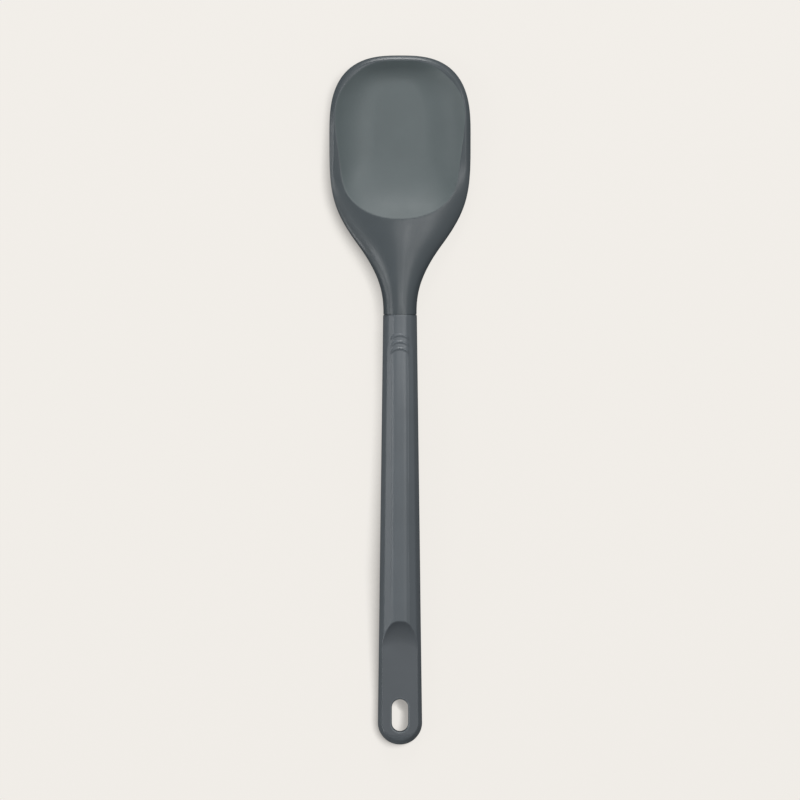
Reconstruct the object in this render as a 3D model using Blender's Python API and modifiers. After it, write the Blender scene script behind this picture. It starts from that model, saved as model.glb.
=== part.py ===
"""A nylon cooking spoon made of two mouldings: a head with its tang, and a handle with a scooped hanging tab.

Metres, +Z up. The spoon lies on its back with the bowl open upwards and the bowl's tip at +Y. Lengths are measured
from the seam between neck and handle: towards the bowl on the head, and towards the tail on the handle.
"""

import math

import bmesh
import bpy

# Lengths along the spoon
HANDLE_LENGTH = 0.2028
NECK_LENGTH = 0.0770
BOWL_STRAIGHT_LENGTH = 0.0075
BOWL_FRONT_LENGTH = 0.0378
HEAD_LENGTH = NECK_LENGTH + BOWL_STRAIGHT_LENGTH + BOWL_FRONT_LENGTH
SEAM_Y = HANDLE_LENGTH - (HANDLE_LENGTH + HEAD_LENGTH) / 2

# Plan outline of the head
BOWL_HALF_WIDTH = 0.03326
BOWL_FRONT_SQUARENESS = 2.8
NECK_HALF_WIDTH = 0.00782
FLARE_HALF_WIDTH = 0.01978
FLARE_AT = 0.03307
FLARE_ANGLE = math.radians(36.2)
NECK_STRAIGHT_PULL = 0.0087
FLARE_PULL = 0.0192
SHOULDER_PULL = 0.0205

# Heights of the head: the crest of the neck, the outer edge all round, and the underside
RIM_HEIGHT = 0.0115
TIP_HEIGHT = 0.0085
DISH_FLOOR = 0.0028
NECK_CREST_AT_SEAM = 0.0153
NECK_CREST_AT_BOWL = 0.0120
NECK_EDGE_AT_SEAM = 0.0085
SHOULDER_EDGE = 0.0050
BOWL_SIDE_EDGE = 0.0097
NECK_UNDERSIDE = 0.0044
SHOULDER_LOW_AT = 0.0450
UNDERSIDE_FLAT_FROM = 0.0640
BOWL_SECTION_FROM = 0.0560
RIM_LEVEL_AT = 0.1000

# Walls of the bowl, seen in section: a fillet from the floor, then a straight wall at its angle
LIP_WIDTH = 0.0016
LIP_ROUND = 0.0008
WALL = 0.0022
SIDE_FILLET = 0.0260
SIDE_WALL_ANGLE = math.radians(42)
FRONT_FILLET = 0.0120
FRONT_WALL_ANGLE = math.radians(38)
REAR_FILLET = 0.0420
REAR_WALL_ANGLE = math.radians(42)
DISH_REAR_LENGTH = 0.0318
DISH_REAR_SQUARENESS = 3.4

# Outline and heights of the handle
HANDLE_HALF_WIDTH_AT_SEAM = 0.00796
TAIL_RADIUS = 0.01045
CREST_AT_SEAM = 0.0156
CREST_AT_ARCH = 0.0167
CREST_AT_SCOOP = 0.0126
CREST_AT_TAIL = 0.0118
UNDERSIDE_AT_SEAM = 0.0042
UNDERSIDE_AT_ARCH = 0.0047
UNDERSIDE_AT_SCOOP = 0.0006
UNDERSIDE_AT_TAIL = 0.0
ARCH_AT = 0.0450
TAIL_LEVEL_FROM = 0.1650
TAIL_CROWN_FALL = 0.0030

# Section of the handle: crowned top, two facets a side, and a squarer underside
CROWN_SHARE = 0.90
PANEL_CORNER_AT_SEAM = 0.0040
PANEL_CORNER_AT_TAIL = 0.0048
PANEL_CORNER_DROP = 0.14
FLANK_WIDTH = 0.0020
FACET_TILT = math.radians(42)
UNDERSIDE_SQUARENESS = 2.5
FIRST_SECTION_AT = 0.0040
SECOND_SECTION_AT = 0.0080
FACETS_START = 0.0125
FACETS_FULL = 0.0175
END_ROUND = 0.00025

# Tang, socket and seam
SEAM_GAP = 0.0003
TANG_CLEARANCE = 0.0003
TANG_LENGTH = 0.0700
TANG_ROOT_DEPTH = 0.0060
TANG_HEIGHT = 0.0099
TANG_WIDTH = 0.0094
TANG_THICKNESS = 0.0060
TANG_TIP_WIDTH = 0.0074
TANG_TIP_THICKNESS = 0.0050
TANG_CORNER = 0.0010
SOCKET_END_ROOM = 0.0005
SPIGOT_LENGTH = 0.0015
SPIGOT_INSET = 0.0013

# Sunk panel and arched ridges on the top of the handle
PANEL_START = 0.0148
PANEL_DEPTH = 0.0002
PANEL_LAND = 0.0003
ARCH_RADIUS = 0.00525
RIDGE_COUNT = 2
RIDGE_PITCH = 0.0030
RIDGE_REACH = 0.0042
RIDGE_RADIUS = 0.00055
RIDGE_PROUD = 0.00028

# Thumb scoop, hanging tab and slot
SCOOP_START = 0.1440
SCOOP_RADIUS = 0.0215
TAB_THICKNESS = 0.0068
SLOT_WIDTH = 0.0077
SLOT_LENGTH = 0.0153
SLOT_END_TO_TAIL = 0.00635
SLOT_EDGE_ROUND = 0.0008

# Fineness of the meshes
TOP_POINTS = 9
FLAT_POINTS = 6
UNDER_POINTS = 10
CORNER_STEPS = 3
TAIL_STEPS = 12
DISH_RINGS = 15
DISH_SIDES = 88
CUTTER_RUN_PAST = 0.0060

HEAD_COLOUR = (0.132, 0.164, 0.168, 1.0)
HANDLE_COLOUR = (0.118, 0.133, 0.146, 1.0)


def clear_scene():
    for item in list(bpy.data.objects):
        bpy.data.objects.remove(item, do_unlink=True)


def new_collection(name):
    collection = bpy.data.collections.new(name)
    bpy.context.scene.collection.children.link(collection)
    return collection


def plastic(name, colour, roughness):
    material = bpy.data.materials.new(name)
    material.use_nodes = True
    shader = material.node_tree.nodes["Principled BSDF"]
    shader.inputs["Base Color"].default_value = colour
    shader.inputs["Roughness"].default_value = roughness
    shader.inputs["Metallic"].default_value = 0.0
    return material


def mix(a, b, share):
    return a + (b - a) * share


def ease(start, end, at):
    """0 before start and 1 after end, with a smooth rise between."""
    share = min(1.0, max(0.0, (at - start) / (end - start)))
    return share * share * (3 - 2 * share)


def through(stations, at):
    """The height at a place along a smooth curve through (place, height) stations, flat at each end."""
    if at <= stations[0][0]:
        return stations[0][1]
    for i in range(len(stations) - 1):
        (x0, y0), (x1, y1) = stations[i], stations[i + 1]
        if at <= x1:
            slopes = []
            for k in (i, i + 1):
                if k == 0 or k == len(stations) - 1:
                    slopes.append(0.0)
                else:
                    rise = stations[k + 1][1] - stations[k - 1][1]
                    slopes.append(rise / (stations[k + 1][0] - stations[k - 1][0]))
            t = (at - x0) / (x1 - x0)
            run = x1 - x0
            return (
                (2 * t**3 - 3 * t**2 + 1) * y0
                + (t**3 - 2 * t**2 + t) * run * slopes[0]
                + (3 * t**2 - 2 * t**3) * y1
                + (t**3 - t**2) * run * slopes[1]
            )
    return stations[-1][1]


def cubic(p0, p1, p2, p3, t):
    """A point on a cubic Bezier curve in the plane."""
    weights = ((1 - t) ** 3, 3 * (1 - t) ** 2 * t, 3 * (1 - t) * t**2, t**3)
    return tuple(sum(w * p[k] for w, p in zip(weights, (p0, p1, p2, p3))) for k in (0, 1))


def rounding_power(value, squareness):
    """The superellipse's power of a sine or cosine, with its sign."""
    return math.copysign(abs(value) ** (2 / squareness), value)


def neck_outline(t):
    """The head's side from the seam (t = 0) past the flare (t = 1) to the bowl's full width (t = 2)."""
    flare = (FLARE_HALF_WIDTH, FLARE_AT)
    pull = (FLARE_PULL * math.sin(FLARE_ANGLE), FLARE_PULL * math.cos(FLARE_ANGLE))
    if t <= 1:
        start = (NECK_HALF_WIDTH, SEAM_GAP)
        after_start = (NECK_HALF_WIDTH, NECK_STRAIGHT_PULL)
        before_flare = (flare[0] - pull[0], flare[1] - pull[1])
        return cubic(start, after_start, before_flare, flare, t)
    after_flare = (flare[0] + pull[0], flare[1] + pull[1])
    before_end = (BOWL_HALF_WIDTH, NECK_LENGTH - SHOULDER_PULL)
    return cubic(flare, after_flare, before_end, (BOWL_HALF_WIDTH, NECK_LENGTH), t - 1)


def front_outline(angle):
    """The head's side round the bowl's front, from its full width (0) to the tip (a right angle)."""
    x = BOWL_HALF_WIDTH * rounding_power(math.cos(angle), BOWL_FRONT_SQUARENESS)
    y = BOWL_FRONT_LENGTH * rounding_power(math.sin(angle), BOWL_FRONT_SQUARENESS)
    return x, NECK_LENGTH + BOWL_STRAIGHT_LENGTH + y


def head_outline():
    """(x, y, how far round the front) for each station of the head's half outline, from seam to tip."""
    stations = [(*neck_outline(t / 11), 0.0) for t in range(23)]
    turns = 26
    for step in range(turns + 1):
        angle = math.pi / 2 * step / turns
        x, y = front_outline(angle)
        stations.append((0.0 if step == turns else x, y, math.sin(angle) ** 2))
    return stations


def wall_run(height, fillet, angle):
    """How far a bowl wall has moved outwards at a height above the flat that it springs from."""
    fillet_height = fillet * (1 - math.cos(angle))
    if height <= fillet_height:
        return math.sqrt(max(0.0, 2 * fillet * height - height**2))
    return fillet * math.sin(angle) + (height - fillet_height) / math.tan(angle)


def edge_height(y):
    """Height of the head's outer edge: the neck's widest line, the shoulder, then the rim, which falls to the tip."""
    stations = (
        (0.0, NECK_EDGE_AT_SEAM),
        (SHOULDER_LOW_AT, SHOULDER_EDGE),
        (NECK_LENGTH, BOWL_SIDE_EDGE),
        (RIM_LEVEL_AT, RIM_HEIGHT),
        (HEAD_LENGTH, TIP_HEIGHT),
    )
    return through(stations, y)


def neck_section(y):
    """Half section of the neck as (share of the half width, height), from the crest down to the underside."""
    crest = mix(NECK_CREST_AT_SEAM, NECK_CREST_AT_BOWL, ease(0.0, SHOULDER_LOW_AT, y))
    edge = edge_height(y)
    under = mix(NECK_UNDERSIDE, 0.0, ease(0.0, UNDERSIDE_FLAT_FROM, y))
    dome = mix(2.0, 1.6, ease(0.0, FLARE_AT, y))
    points = []
    for i in range(TOP_POINTS):
        angle = math.pi / 2 * i / (TOP_POINTS - 1)
        share = math.sin(angle) ** (2 / dome)
        points.append((share, edge + (crest - edge) * math.cos(angle) ** (2 / dome)))
    for i in range(1, UNDER_POINTS + 1):
        angle = math.pi / 2 * i / UNDER_POINTS
        points.append((math.cos(angle), edge - (edge - under) * math.sin(angle)))
    return points


def bowl_section(y, length, frontness):
    """Half section through the bowl before it is dished, from its flat top round the lip to the flat underside."""
    rim = edge_height(y)
    fillet = mix(SIDE_FILLET, FRONT_FILLET, frontness) + WALL
    steepest = mix(SIDE_WALL_ANGLE, FRONT_WALL_ANGLE, frontness)
    wall_height = rim - LIP_ROUND
    angle = min(steepest, math.acos(max(-1.0, 1 - wall_height / fillet)))
    points = []
    for i in range(FLAT_POINTS):
        share = math.sin(math.pi / 2 * i / (FLAT_POINTS - 1))
        points.append((share * (1 - LIP_ROUND / length), rim))
    for i in range(1, TOP_POINTS - FLAT_POINTS + 1):
        turn = math.pi / 2 * i / (TOP_POINTS - FLAT_POINTS)
        inset = LIP_ROUND * (1 - math.sin(turn))
        points.append((1 - inset / length, rim - LIP_ROUND * (1 - math.cos(turn))))
    foot = wall_run(wall_height, fillet, angle)
    for i in range(UNDER_POINTS - 2):
        turn = angle * (1 - i / (UNDER_POINTS - 3))
        height = fillet * (1 - math.cos(turn))
        points.append((1 - (foot - fillet * math.sin(turn)) / length, height))
    points.append(((1 - foot / length) / 2, 0.0))
    points.append((0.0, 0.0))
    return points


def loft_half(name, stations, towards_tail):
    """The half of a body at +X, open on its middle plane, through stations of (spine y, outline x, outline y, section).

    A section is a list of (share from spine to outline, height). The first station is closed with a face.
    """
    mesh = bmesh.new()
    rows = []
    for spine_y, x, y, section in stations:
        rows.append([mesh.verts.new((x * share, mix(spine_y, y, share), height)) for share, height in section])
    for first, second in zip(rows, rows[1:]):
        for j in range(len(first) - 1):
            corners = [first[j], first[j + 1], second[j + 1], second[j]]
            mesh.faces.new(reversed(corners) if towards_tail else corners)
    mesh.faces.new(rows[0] if towards_tail else list(reversed(rows[0])))
    bmesh.ops.remove_doubles(mesh, verts=mesh.verts, dist=1e-6)
    return mesh_object(name, mesh)


def loft_rings(name, rings):
    """A closed body through rings with the same number of points, with a face at each end."""
    mesh = bmesh.new()
    rows = [[mesh.verts.new(point) for point in ring] for ring in rings]
    count = len(rows[0])
    for first, second in zip(rows, rows[1:]):
        for j in range(count):
            k = (j + 1) % count
            mesh.faces.new((first[j], first[k], second[k], second[j]))
    mesh.faces.new(list(reversed(rows[0])))
    mesh.faces.new(rows[-1])
    bmesh.ops.recalc_face_normals(mesh, faces=mesh.faces)
    return mesh_object(name, mesh)


def mesh_object(name, mesh):
    data = bpy.data.meshes.new(name)
    mesh.to_mesh(data)
    mesh.free()
    return bpy.data.objects.new(name, data)


def place(item, collection, parent):
    collection.objects.link(item)
    item.parent = parent
    return item


def add_mirror(item):
    modifier = item.modifiers.new("mirror", "MIRROR")
    modifier.use_axis = (True, False, False)
    modifier.merge_threshold = 0.00001


def add_boolean(item, other, operation):
    modifier = item.modifiers.new(f"{operation.lower()}_{other.name}", "BOOLEAN")
    modifier.operation = operation
    modifier.solver = "EXACT"
    modifier.object = other
    other.data.shade_smooth()
    other.hide_render = True
    other.display_type = "WIRE"


def shade(item, material):
    item.data.materials.append(material)
    item.data.shade_smooth()
    item.data.set_sharp_from_angle(angle=math.radians(30))


def head_body():
    """The head without its dish: domed neck, shoulders and a solid bowl with a rounded lip."""
    outline = head_outline()
    fan_from = NECK_LENGTH * 0.9
    fan_to = HEAD_LENGTH - BOWL_FRONT_LENGTH * 0.6
    lengths = [0.0]
    for (x0, y0, _), (x1, y1, _) in zip(outline, outline[1:]):
        beyond = max(0.0, y1 - fan_from) > 0
        lengths.append(lengths[-1] + (math.hypot(x1 - x0, y1 - y0) if beyond else 0.0))
    stations = []
    for (x, y, frontness), passed in zip(outline, lengths):
        spine = y if passed == 0 else mix(fan_from, fan_to, passed / lengths[-1])
        bowl = bowl_section(y, math.hypot(x, y - spine), frontness)
        neck = neck_section(y)
        share = ease(BOWL_SECTION_FROM, NECK_LENGTH, y)
        section = [(mix(a[0], b[0], share), mix(a[1], b[1], share)) for a, b in zip(neck, bowl)]
        stations.append((spine, x, y, section))
    return loft_half("head", stations, towards_tail=False)


def dish_cutter():
    """The hollow of the bowl as a body: a flat floor, filleted walls and straight upper walls."""
    depth = RIM_HEIGHT - DISH_FLOOR
    side_flat = BOWL_HALF_WIDTH - LIP_WIDTH - wall_run(depth, SIDE_FILLET, SIDE_WALL_ANGLE)
    tip_depth = TIP_HEIGHT - DISH_FLOOR
    front_flat = BOWL_FRONT_LENGTH - LIP_WIDTH - wall_run(tip_depth, FRONT_FILLET, FRONT_WALL_ANGLE)
    crest_depth = NECK_CREST_AT_BOWL - DISH_FLOOR
    rear_flat = DISH_REAR_LENGTH - wall_run(crest_depth, REAR_FILLET, REAR_WALL_ANGLE)
    top = depth + CUTTER_RUN_PAST
    rings = []
    for i in range(DISH_RINGS + 1):
        height = top * (i / DISH_RINGS) ** 2
        half = side_flat + wall_run(height, SIDE_FILLET, SIDE_WALL_ANGLE)
        front = front_flat + wall_run(height, FRONT_FILLET, FRONT_WALL_ANGLE)
        rear = rear_flat + wall_run(height, REAR_FILLET, REAR_WALL_ANGLE)
        ring = []
        for k in range(DISH_SIDES):
            angle = 2 * math.pi * (k + 0.5) / DISH_SIDES
            ahead = math.sin(angle) > 0
            squareness = BOWL_FRONT_SQUARENESS if ahead else DISH_REAR_SQUARENESS
            reach = front if ahead else rear
            centre = NECK_LENGTH + (BOWL_STRAIGHT_LENGTH if ahead else 0.0)
            x = half * rounding_power(math.cos(angle), squareness)
            y = centre + reach * rounding_power(math.sin(angle), squareness)
            ring.append((x, y, DISH_FLOOR + height))
        rings.append(ring)
    return loft_rings("dish_cutter", rings)


def tapered_bar(name, start, end, first_size, last_size, corner):
    """A bar along Y with rounded long edges, from one (width, thickness) to another."""
    rings = []
    for y, (width, thickness) in ((start, first_size), (end, last_size)):
        ring = []
        for k in range(4):
            sign_x = (1, -1, -1, 1)[k]
            sign_z = (1, 1, -1, -1)[k]
            for step in range(CORNER_STEPS + 1):
                turn = math.pi / 2 * (k + step / CORNER_STEPS)
                x = sign_x * (width / 2 - corner) + corner * math.cos(turn)
                z = TANG_HEIGHT + sign_z * (thickness / 2 - corner) + corner * math.sin(turn)
                ring.append((x, y, z))
        rings.append(ring)
    return loft_rings(name, rings)


def tang():
    size = (TANG_WIDTH, TANG_THICKNESS)
    tip = (TANG_TIP_WIDTH, TANG_TIP_THICKNESS)
    return tapered_bar("tang", TANG_ROOT_DEPTH, -TANG_LENGTH, size, tip, TANG_CORNER)


def socket_cutter():
    """The tang's own taper with its clearance all round, from in front of the handle to past the tang's tip."""
    room = 2 * TANG_CLEARANCE
    size = (TANG_WIDTH + room, TANG_THICKNESS + room)
    tip = (TANG_TIP_WIDTH + room, TANG_TIP_THICKNESS + room)
    corner = TANG_CORNER + TANG_CLEARANCE
    return tapered_bar("socket_cutter", TANG_ROOT_DEPTH, -TANG_LENGTH - SOCKET_END_ROOM, size, tip, corner)


def seam_bar(name, start, end, inset):
    """A short bar with the handle's own section at the seam, drawn in all round."""
    half_width = handle_half_width(0.0)
    half = [(share * half_width, height) for share, height in handle_section(0.0, inset)]
    around = half + [(-x, z) for x, z in half[-2:0:-1]]
    return loft_rings(name, [[(x, y, z) for x, z in around] for y in (start, end)])


def spigot():
    """The step between neck and tang. It enters the handle's mouth and closes the seam to the light."""
    return seam_bar("spigot", TANG_ROOT_DEPTH / 2, -SPIGOT_LENGTH, SPIGOT_INSET)


def mouth_cutter():
    inset = SPIGOT_INSET - TANG_CLEARANCE
    return seam_bar("mouth_cutter", TANG_ROOT_DEPTH / 2, -SPIGOT_LENGTH - SEAM_GAP, inset)


def handle_half_width(distance):
    round_from = HANDLE_LENGTH - TAIL_RADIUS
    return mix(HANDLE_HALF_WIDTH_AT_SEAM, TAIL_RADIUS, min(1.0, distance / round_from))


def handle_crest(distance):
    stations = (
        (0.0, CREST_AT_SEAM),
        (ARCH_AT, CREST_AT_ARCH),
        (SCOOP_START, CREST_AT_SCOOP),
        (TAIL_LEVEL_FROM, CREST_AT_TAIL),
        (HANDLE_LENGTH, CREST_AT_TAIL),
    )
    return through(stations, distance)


def handle_underside(distance):
    """Height of the handle's underside, which levels out on the surface that the spoon lies on."""
    stations = (
        (0.0, UNDERSIDE_AT_SEAM),
        (ARCH_AT, UNDERSIDE_AT_ARCH),
        (SCOOP_START, UNDERSIDE_AT_SCOOP),
        (TAIL_LEVEL_FROM, UNDERSIDE_AT_TAIL),
        (HANDLE_LENGTH, UNDERSIDE_AT_TAIL),
    )
    return max(UNDERSIDE_AT_TAIL, through(stations, distance))


def rounded_corner(before, corner, after, share):
    """Points that round a corner off, reaching a share of the way to the points halfway along each side."""
    start = [mix(corner[k], before[k], share / 2) for k in (0, 1)]
    end = [mix(corner[k], after[k], share / 2) for k in (0, 1)]
    points = []
    for step in range(CORNER_STEPS + 1):
        t = step / CORNER_STEPS
        points.append(
            tuple((1 - t) ** 2 * start[k] + 2 * t * (1 - t) * corner[k] + t**2 * end[k] for k in (0, 1))
        )
    return points


def handle_section(distance, inset=0.0, crown_fall=0.0):
    """Half section of the handle as (share of the half width, height), from its crest down to its underside."""
    half = handle_half_width(distance)
    side = handle_crest(distance) - CROWN_SHARE * half
    crest = handle_crest(distance) - crown_fall
    rise = crest - side
    panel_from = PANEL_CORNER_AT_SEAM
    panel = mix(panel_from, PANEL_CORNER_AT_TAIL, min(1.0, distance / HANDLE_LENGTH))
    softness = mix(1.0, 0.35, ease(FACETS_START, FACETS_FULL, distance))
    panel_corner = (panel, crest - PANEL_CORNER_DROP * rise)
    facet_width = half - FLANK_WIDTH - panel
    facet_fall = facet_width * math.tan(FACET_TILT) * rise / (CROWN_SHARE * half)
    facet_corner = (half - FLANK_WIDTH, panel_corner[1] - facet_fall)
    widest = (half, side)
    across = [(panel * share, crest - PANEL_CORNER_DROP * rise * share**2) for share in (0.0, 1 / 3, 2 / 3)]
    across += rounded_corner(across[-1], panel_corner, facet_corner, softness)
    across += rounded_corner(panel_corner, facet_corner, widest, softness)
    side_foot = (half, side - (side - handle_underside(distance)) / 2)
    across += rounded_corner(facet_corner, widest, side_foot, 0.9)
    under = handle_underside(distance)
    for step in range(2, UNDER_POINTS + 1):
        angle = math.pi / 2 * step / UNDER_POINTS
        x = half * rounding_power(math.cos(angle), UNDERSIDE_SQUARENESS) if step < UNDER_POINTS else 0.0
        across.append((x, side - (side - under) * rounding_power(math.sin(angle), UNDERSIDE_SQUARENESS)))
    middle = (crest + under) / 2
    shrink = 1 - inset / half
    return [(x / half * shrink, mix(middle, z, shrink)) for x, z in across]


def surface_height(distance, x):
    """Height of the handle's top at a place, before the panel is sunk."""
    half = handle_half_width(distance)
    points = [(share * half, height) for share, height in handle_section(distance)]
    for (x0, z0), (x1, z1) in zip(points, points[1:]):
        if x0 <= abs(x) <= x1 and x1 > x0:
            return mix(z0, z1, (abs(x) - x0) / (x1 - x0))
    return points[-1][1]


def handle_places():
    """Distances of the handle's stations from the seam, closer where its section changes."""
    places = [0.0, END_ROUND, FIRST_SECTION_AT, SECOND_SECTION_AT, FACETS_START]
    places += [mix(FACETS_START, FACETS_FULL, share) for share in (0.35, 0.65, 1.0)]
    spans = 16
    last = HANDLE_LENGTH - TAIL_RADIUS
    places += [mix(FACETS_FULL, last, i / spans) for i in range(1, spans + 1)]
    return places


def handle_body():
    """The handle without its cuts: a crowned bar with facets and a half-round tail."""
    stations = []
    for distance in handle_places():
        inset = END_ROUND if distance == 0.0 else 0.0
        stations.append((-distance, handle_half_width(distance), -distance, handle_section(distance, inset)))
    centre = HANDLE_LENGTH - TAIL_RADIUS
    for step in range(1, TAIL_STEPS + 1):
        angle = math.pi / 2 * step / TAIL_STEPS
        x = TAIL_RADIUS * math.cos(angle) if step < TAIL_STEPS else 0.0
        y = -(centre + TAIL_RADIUS * math.sin(angle))
        section = handle_section(centre, crown_fall=TAIL_CROWN_FALL * math.sin(angle) ** 2)
        stations.append((-centre, x, y, section))
    return loft_half("handle", stations, towards_tail=True)


def scoop_cutter():
    """Everything above the hanging tab: a concave thumb scoop that runs level into the tab's flat top."""
    depth = handle_crest(SCOOP_START) - TAB_THICKNESS
    run = math.sqrt(2 * SCOOP_RADIUS * depth - depth**2)
    start_angle = math.asin(run / SCOOP_RADIUS) + math.radians(8)
    steps = 12
    profile = []
    for step in range(steps + 1):
        angle = start_angle * (1 - step / steps)
        distance = SCOOP_START + run - SCOOP_RADIUS * math.sin(angle)
        profile.append((-distance, TAB_THICKNESS + SCOOP_RADIUS * (1 - math.cos(angle))))
    past_tail = -(HANDLE_LENGTH + CUTTER_RUN_PAST)
    above = CREST_AT_ARCH + CUTTER_RUN_PAST
    profile += [(past_tail, TAB_THICKNESS), (past_tail, above), (profile[0][0], above)]
    reach = TAIL_RADIUS + CUTTER_RUN_PAST
    rings = [[(side * reach, y, z) for y, z in profile] for side in (1, -1)]
    return loft_rings("scoop_cutter", rings)


def stadium(half_width, half_straight, centre_y, height):
    """A ring with straight sides along Y and half-round ends."""
    ring = []
    end_steps = 10
    for end in (1, -1):
        for step in range(end_steps + 1):
            turn = math.pi * step / end_steps
            x = end * half_width * math.cos(turn)
            ring.append((x, centre_y + end * (half_straight + half_width * math.sin(turn)), height))
    return ring


def slot_cutter():
    """The hanging slot, with its edges rounded over where it meets the tab's two faces."""
    centre_y = -(HANDLE_LENGTH - SLOT_END_TO_TAIL - SLOT_LENGTH / 2)
    half_straight = (SLOT_LENGTH - SLOT_WIDTH) / 2
    steps = 4
    levels = [(-CUTTER_RUN_PAST, SLOT_EDGE_ROUND)]
    for face, inwards in ((0.0, 1), (TAB_THICKNESS, -1)):
        turns = [math.pi / 2 * step / steps for step in range(steps + 1)]
        arc = [
            (face + inwards * SLOT_EDGE_ROUND * (1 - math.cos(turn)), SLOT_EDGE_ROUND * (1 - math.sin(turn)))
            for turn in turns
        ]
        levels += arc if inwards > 0 else arc[::-1]
    levels.append((TAB_THICKNESS + CUTTER_RUN_PAST, SLOT_EDGE_ROUND))
    rings = [stadium(SLOT_WIDTH / 2 + flare, half_straight, centre_y, height) for height, flare in levels]
    return loft_rings("slot_cutter", rings)


def panel_half_width(distance):
    """Half width of the sunk panel: an arched end, then sides just inside the panel corners."""
    corner = mix(PANEL_CORNER_AT_SEAM, PANEL_CORNER_AT_TAIL, distance / HANDLE_LENGTH)
    past = distance - PANEL_START
    arch = math.sqrt(max(0.0, 2 * ARCH_RADIUS * past - past**2)) if past < ARCH_RADIUS else corner
    return min(corner - PANEL_LAND, arch)


def panel_cutter():
    """A thin cut that follows the crown of the handle, so that the panel keeps the same depth all along."""
    arch_steps = 8
    arch_depth = ARCH_RADIUS - math.sqrt(ARCH_RADIUS**2 - PANEL_CORNER_AT_SEAM**2)
    last = SCOOP_START + CUTTER_RUN_PAST
    places = [PANEL_START + arch_depth * ((step + 0.5) / arch_steps) ** 2 for step in range(arch_steps)]
    places += [mix(PANEL_START + arch_depth * 1.1, last, share / 12) for share in range(13)]
    across = 6
    rings = []
    for distance in places:
        half = panel_half_width(distance)
        ring = []
        for k in range(across + 1):
            x = mix(-half, half, k / across)
            ring.append((x, -distance, surface_height(distance, x) - PANEL_DEPTH))
        above = CREST_AT_ARCH + CUTTER_RUN_PAST
        ring += [(half, -distance, above), (-half, -distance, above)]
        rings.append(ring)
    return loft_rings("panel_cutter", rings)


def ridge(number):
    """One arched grip ridge: a round bar bent along the handle's crown, mostly sunk in it, with fading ends."""
    apex = PANEL_START - RIDGE_PITCH * number
    steps = 14
    widest = math.asin(RIDGE_REACH / ARCH_RADIUS)
    curve = bpy.data.curves.new(f"ridge_{number}", "CURVE")
    curve.dimensions = "3D"
    curve.bevel_depth = RIDGE_RADIUS
    curve.bevel_resolution = 2
    curve.use_fill_caps = True
    spline = curve.splines.new("POLY")
    spline.points.add(steps)
    for step in range(steps + 1):
        turn = mix(-widest, widest, step / steps)
        x = ARCH_RADIUS * math.sin(turn)
        distance = apex + ARCH_RADIUS * (1 - math.cos(turn))
        fade = RIDGE_PROUD * (abs(turn) / widest) ** 6
        height = surface_height(distance, x) + RIDGE_PROUD - RIDGE_RADIUS - fade
        spline.points[step].co = (x, -distance, height, 1.0)
    return closed_mesh_of(curve)


def closed_mesh_of(curve):
    """A curve as a mesh object with its end caps welded on."""
    item = bpy.data.objects.new(curve.name, curve)
    bpy.context.scene.collection.objects.link(item)
    graph = bpy.context.evaluated_depsgraph_get()
    data = bpy.data.meshes.new_from_object(item.evaluated_get(graph))
    mesh = bmesh.new()
    mesh.from_mesh(data)
    bmesh.ops.remove_doubles(mesh, verts=mesh.verts, dist=1e-6)
    bmesh.ops.recalc_face_normals(mesh, faces=mesh.faces)
    mesh.to_mesh(data)
    mesh.free()
    made = bpy.data.objects.new(item.name, data)
    made.matrix_world = item.matrix_world
    bpy.data.objects.remove(item, do_unlink=True)
    return made


def build():
    clear_scene()
    parts = new_collection("nylon_spoon")
    cutters = new_collection("cutters")
    seam = bpy.data.objects.new("seam", None)
    seam.location = (0.0, SEAM_Y, 0.0)
    parts.objects.link(seam)

    head = place(head_body(), parts, seam)
    add_mirror(head)
    for joined in (tang(), spigot()):
        add_boolean(head, place(joined, cutters, seam), "UNION")
    add_boolean(head, place(dish_cutter(), cutters, seam), "DIFFERENCE")
    shade(head, plastic("head_nylon", HEAD_COLOUR, 0.38))

    handle = place(handle_body(), parts, seam)
    add_mirror(handle)
    for number in range(1, RIDGE_COUNT + 1):
        add_boolean(handle, place(ridge(number), cutters, seam), "UNION")
    for cutter in (panel_cutter(), scoop_cutter(), slot_cutter(), mouth_cutter(), socket_cutter()):
        add_boolean(handle, place(cutter, cutters, seam), "DIFFERENCE")
    shade(handle, plastic("handle_nylon", HANDLE_COLOUR, 0.55))


build()
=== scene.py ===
"""Looks for the nylon spoon: both mouldings as fine meshes, their finishes, the table, lamps and camera.

Metres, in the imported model's frame: the spoon lies on its back with the bowl open upwards and its tip at +Y.
Lengths are measured from the seam between neck and handle: towards the bowl on the head, and towards the
tail on the handle. Each moulding is lofted as its half at +X, then mirrored, and joined to its tang or cut.
"""

import math

import bmesh
import bpy
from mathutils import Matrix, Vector

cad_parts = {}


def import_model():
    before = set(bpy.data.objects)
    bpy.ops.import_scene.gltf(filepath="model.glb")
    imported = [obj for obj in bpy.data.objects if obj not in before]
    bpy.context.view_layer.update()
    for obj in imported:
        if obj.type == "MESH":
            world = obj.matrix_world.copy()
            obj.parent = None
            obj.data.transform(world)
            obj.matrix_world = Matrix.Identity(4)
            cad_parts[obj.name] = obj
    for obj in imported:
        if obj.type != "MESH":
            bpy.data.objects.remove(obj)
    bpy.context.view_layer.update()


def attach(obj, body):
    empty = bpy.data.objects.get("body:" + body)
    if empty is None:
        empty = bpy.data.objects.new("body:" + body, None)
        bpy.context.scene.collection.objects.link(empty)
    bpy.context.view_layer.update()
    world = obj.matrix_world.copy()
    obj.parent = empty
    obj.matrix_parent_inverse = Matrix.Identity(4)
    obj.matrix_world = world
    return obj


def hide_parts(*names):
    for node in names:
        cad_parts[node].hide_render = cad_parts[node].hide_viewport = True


# Lengths along the spoon
HANDLE_LENGTH = 0.2028
NECK_LENGTH = 0.0770
BOWL_STRAIGHT_LENGTH = 0.0075
BOWL_FRONT_LENGTH = 0.0378
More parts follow.
